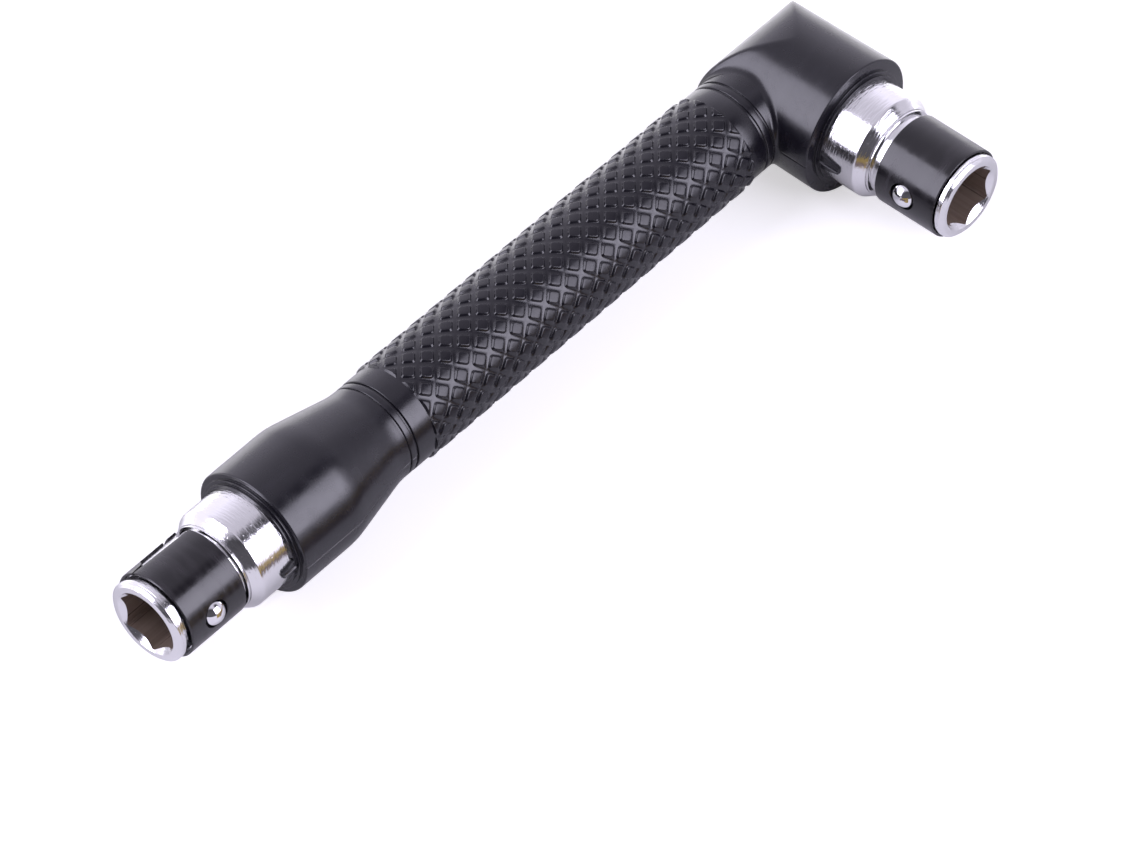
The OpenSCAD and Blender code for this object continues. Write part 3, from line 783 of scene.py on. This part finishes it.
def polished_steel(name):
    """Polished steel with a faint haze and hair-fine marks."""
    finish, nodes, links, surface = finish_of(name)
    surface.inputs["Metallic"].default_value = 1.0
    haze = grain_of(nodes, links, 1500.0, 4.0)
    links.new(blend_of(nodes, links, haze, BALL_GREY, BALL_BRIGHT), surface.inputs["Base Color"])
    links.new(spread_of(nodes, links, haze, 0.3, 0.7, 0.03, 0.09), surface.inputs["Roughness"])
    emboss(nodes, links, [(grain_of(nodes, links, 2500.0, 3.0), 0.000002)], surface)
    return finish


ball_finish = polished_steel("ball_steel")
for name in ("straight_ball", "angle_ball"):
    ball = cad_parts[name].data
    ball.materials.clear()
    ball.materials.append(ball_finish)


# Floor, lamps and camera: the tool lies on a sheet of white paper between two soft boxes in a pale
# room. Small cards and the room's dark sides show only in its reflections.
FLOOR_SIZE = 6.0
# How brightly the paper glows: evenly to the camera, and, for reflections only, behind the tool, where the
# glow is a painted reflection.
PAPER_SHOWN, PAPER_GLOW_BEHIND = 0.56, 1.15
GLOW_TOWARDS, GLOW_START, GLOW_END = (0.33, 0.944, 0.0), 0.0125, 0.036
LAMP_COLOUR = (1.0, 0.97, 1.16)
WALL_LOW, WALL_HIGH, WALL_FOOT, WALL_TOP = 0.5, 0.9, 1.27, 0.72
# Dark regions of the room: direction, cosine where each starts and ends, and the share of light left
DARK_SIDES = (
    ((-0.70, -0.66, 0.27), 0.55, 0.75, 0.08),
    ((0.482, -0.457, 0.746), 0.935, 0.99, 0.08),
    ((0.82, -0.33, 0.47), 0.78, 0.97, 0.62),
)
LENS, SENSOR_W = 271.36, 36.0
CAMERA_AT = (-0.423074, -0.391349, 0.660906)
CAMERA_AZIMUTH, CAMERA_HEIGHT, CAMERA_TILT = -47.263, 48.974, -1.451


def card(name, centre, across, upright, width, height, finish):
    """A flat sheet of the set."""
    mesh = bpy.data.meshes.new(name)
    side, rise = across * width / 2, upright * height / 2
    corners = [centre - side - rise, centre + side - rise, centre + side + rise, centre - side + rise]
    mesh.from_pydata(corners, [], [(0, 1, 2, 3)])
    mesh.materials.append(finish)
    made = bpy.data.objects.new(name, mesh)
    bpy.context.scene.collection.objects.link(made)
    return made


def only_mirrored(made):
    """A card that shows in reflections but not to the camera, and throws no shade."""
    made.visible_camera = False
    made.visible_diffuse = False
    made.visible_shadow = False


def paper_of(name, colour):
    """Dull paper or card of one colour."""
    finish, nodes, links, surface = finish_of(name)
    surface.inputs["Base Color"].default_value = (*colour, 1.0)
    surface.inputs["Roughness"].default_value = 1.0
    surface.inputs["Specular IOR Level"].default_value = 0.0
    return finish, nodes, links, surface


white_paper, nodes, links, surface = paper_of("white_paper", (0.8, 0.79, 0.81))
surface.inputs["Emission Color"].default_value = (1.0, 0.985, 1.0, 1.0)
# Reflections see the paper brighter behind the tool and right of its head, as if it curved up there: the
# paper glows there for them only, a painted reflection.
path = nodes.new("ShaderNodeLightPath")
spot = nodes.new("ShaderNodeTexCoord")
behind = nodes.new("ShaderNodeVectorMath")
behind.operation = "DOT_PRODUCT"
behind.inputs[1].default_value = GLOW_TOWARDS
links.new(spot.outputs["Object"], behind.inputs[0])
glow_behind = spread_of(nodes, links, behind.outputs["Value"], GLOW_START, GLOW_END, 0.0, PAPER_GLOW_BEHIND)
seen = spread_of(nodes, links, path.outputs["Is Camera Ray"], 0.0, 1.0, 0.0, PAPER_SHOWN)
glow = nodes.new("ShaderNodeMath")
glow.operation = "MULTIPLY_ADD"
links.new(path.outputs["Is Glossy Ray"], glow.inputs[0])
links.new(glow_behind, glow.inputs[1])
links.new(seen, glow.inputs[2])
links.new(glow.outputs[0], surface.inputs["Emission Strength"])
card("floor", Vector((0, 0, 0)), Vector((1, 0, 0)), Vector((0, 1, 0)), FLOOR_SIZE, FLOOR_SIZE, white_paper)

black_card = paper_of("black_card", (0.012, 0.011, 0.012))[0]
tan_card = paper_of("tan_card", (0.48, 0.36, 0.12))[0]
only_mirrored(card(
    "tan_card", centre=Vector((-0.0085, -0.021, 0.0055)),
    across=Vector((1, 0, 0)), upright=Vector((0, 0, 1)), width=0.081, height=0.011, finish=tan_card,
))
brown_card = paper_of("brown_card", (0.19, 0.15, 0.14))[0]
only_mirrored(card(
    "brown_card", centre=Vector((-0.0065, -0.0148, 0.005)),
    across=Vector((1, 0, 0)), upright=Vector((0, 1, 0)), width=0.069, height=0.0124, finish=brown_card,
))


def soft_box(name, aim, towards, upright, reach, width, height, rims, radiance):
    """A soft box seen from aim, with a dark rim of the given width at its top and foot."""
    towards = towards.normalized()
    centre = aim + towards * reach
    across = upright.cross(towards).normalized()
    upright = towards.cross(across).normalized()
    lamp = bpy.data.lights.new(name, "AREA")
    lamp.shape = "RECTANGLE"
    lamp.size = width
    lamp.size_y = height
    lamp.energy = radiance * math.pi * width * height
    lamp.color = LAMP_COLOUR
    made = bpy.data.objects.new(name, lamp)
    turn = Matrix((across, upright, towards)).transposed()
    made.matrix_world = Matrix.Translation(centre) @ turn.to_4x4()
    made.visible_camera = False
    bpy.context.scene.collection.objects.link(made)
    for side, rim in zip((1, -1), rims):
        if rim:
            place = centre + upright * side * (height + rim) / 2
            only_mirrored(card(f"{name}_rim_{side + 1}", place, across, upright, width, rim, black_card))


soft_box(
    "right_lamp", aim=Vector((0.0, 0.0089, 0.0079)), towards=Vector((0.247, -0.824, 0.510)),
    upright=Vector((0.0, 0.508, 0.861)), reach=0.815, width=0.665, height=0.60, rims=(0.05, 0), radiance=4.7,
)
soft_box(
    "left_lamp", aim=Vector((0.0446, -0.005, 0.0079)), towards=Vector((-0.694, 0.432, 0.574)),
    upright=Vector((0.638, 0.0, 0.77)), reach=0.8, width=0.5, height=0.80, rims=(0, 0.10), radiance=4.0,
)

room = bpy.data.worlds.new("studio")
bpy.context.scene.world = room
room.use_nodes = True
nodes, links = room.node_tree.nodes, room.node_tree.links
nodes.clear()
out = nodes.new("ShaderNodeOutputWorld")
path = nodes.new("ShaderNodeLightPath")


def backdrop(colour, strength):
    """One look of the room."""
    sheet = nodes.new("ShaderNodeBackground")
    sheet.inputs["Color"].default_value = (*colour, 1.0)
    sheet.inputs["Strength"].default_value = strength
    return sheet


white = backdrop((1.0, 1.0, 1.0), 1.0)
pale = backdrop((1.0, 0.955, 1.13), 0.75)
fill = backdrop((1.0, 0.98, 1.02), 0.25)
# Reflections see the room: pale walls that darken upwards, the dark side where the camera stands, the
# dark ceiling over the right lamp and the dimmer corner beside it.
aim = nodes.new("ShaderNodeTexCoord")
parts = nodes.new("ShaderNodeSeparateXYZ")
links.new(aim.outputs["Generated"], parts.inputs["Vector"])
wall = spread_of(nodes, links, parts.outputs["Z"], WALL_LOW, WALL_HIGH, WALL_FOOT, WALL_TOP)
for towards, start, end, left in DARK_SIDES:
    facing = nodes.new("ShaderNodeVectorMath")
    facing.operation = "DOT_PRODUCT"
    facing.inputs[1].default_value = Vector(towards).normalized()
    links.new(aim.outputs["Generated"], facing.inputs[0])
    dark = spread_of(nodes, links, facing.outputs["Value"], start, end, 1.0, left)
    dimmed = nodes.new("ShaderNodeMath")
    dimmed.operation = "MULTIPLY"
    links.new(wall, dimmed.inputs[0])
    links.new(dark, dimmed.inputs[1])
    wall = dimmed.outputs[0]
links.new(wall, pale.inputs["Strength"])
shiny = nodes.new("ShaderNodeMath")
shiny.operation = "MAXIMUM"
links.new(path.outputs["Is Glossy Ray"], shiny.inputs[0])
links.new(path.outputs["Is Transmission Ray"], shiny.inputs[1])
mirrored = nodes.new("ShaderNodeMixShader")
links.new(shiny.outputs[0], mirrored.inputs["Fac"])
links.new(fill.outputs[0], mirrored.inputs[1])
links.new(pale.outputs[0], mirrored.inputs[2])
shown = nodes.new("ShaderNodeMixShader")
links.new(path.outputs["Is Camera Ray"], shown.inputs["Fac"])
links.new(mirrored.outputs[0], shown.inputs[1])
links.new(white.outputs[0], shown.inputs[2])
links.new(shown.outputs[0], out.inputs["Surface"])

view = bpy.data.cameras.new("camera")
view.lens = LENS
view.sensor_width = SENSOR_W
view.sensor_fit = "HORIZONTAL"
view.clip_start = 0.01
azimuth, height, tilt = (math.radians(a) for a in (CAMERA_AZIMUTH, CAMERA_HEIGHT, CAMERA_TILT))
back = Vector((
    math.sin(azimuth) * math.cos(height),
    -math.cos(azimuth) * math.cos(height),
    math.sin(height),
))
level_side = Vector((math.cos(azimuth), math.sin(azimuth), 0.0))
right = level_side * math.cos(tilt) + back.cross(level_side) * math.sin(tilt)
stand = Matrix((right, back.cross(right), back)).transposed().to_4x4()
stand.translation = Vector(CAMERA_AT)
camera = bpy.data.objects.new("camera", view)
camera.matrix_world = stand
bpy.context.scene.collection.objects.link(camera)
bpy.context.scene.camera = camera
bpy.context.scene.view_settings.view_transform = "Standard"
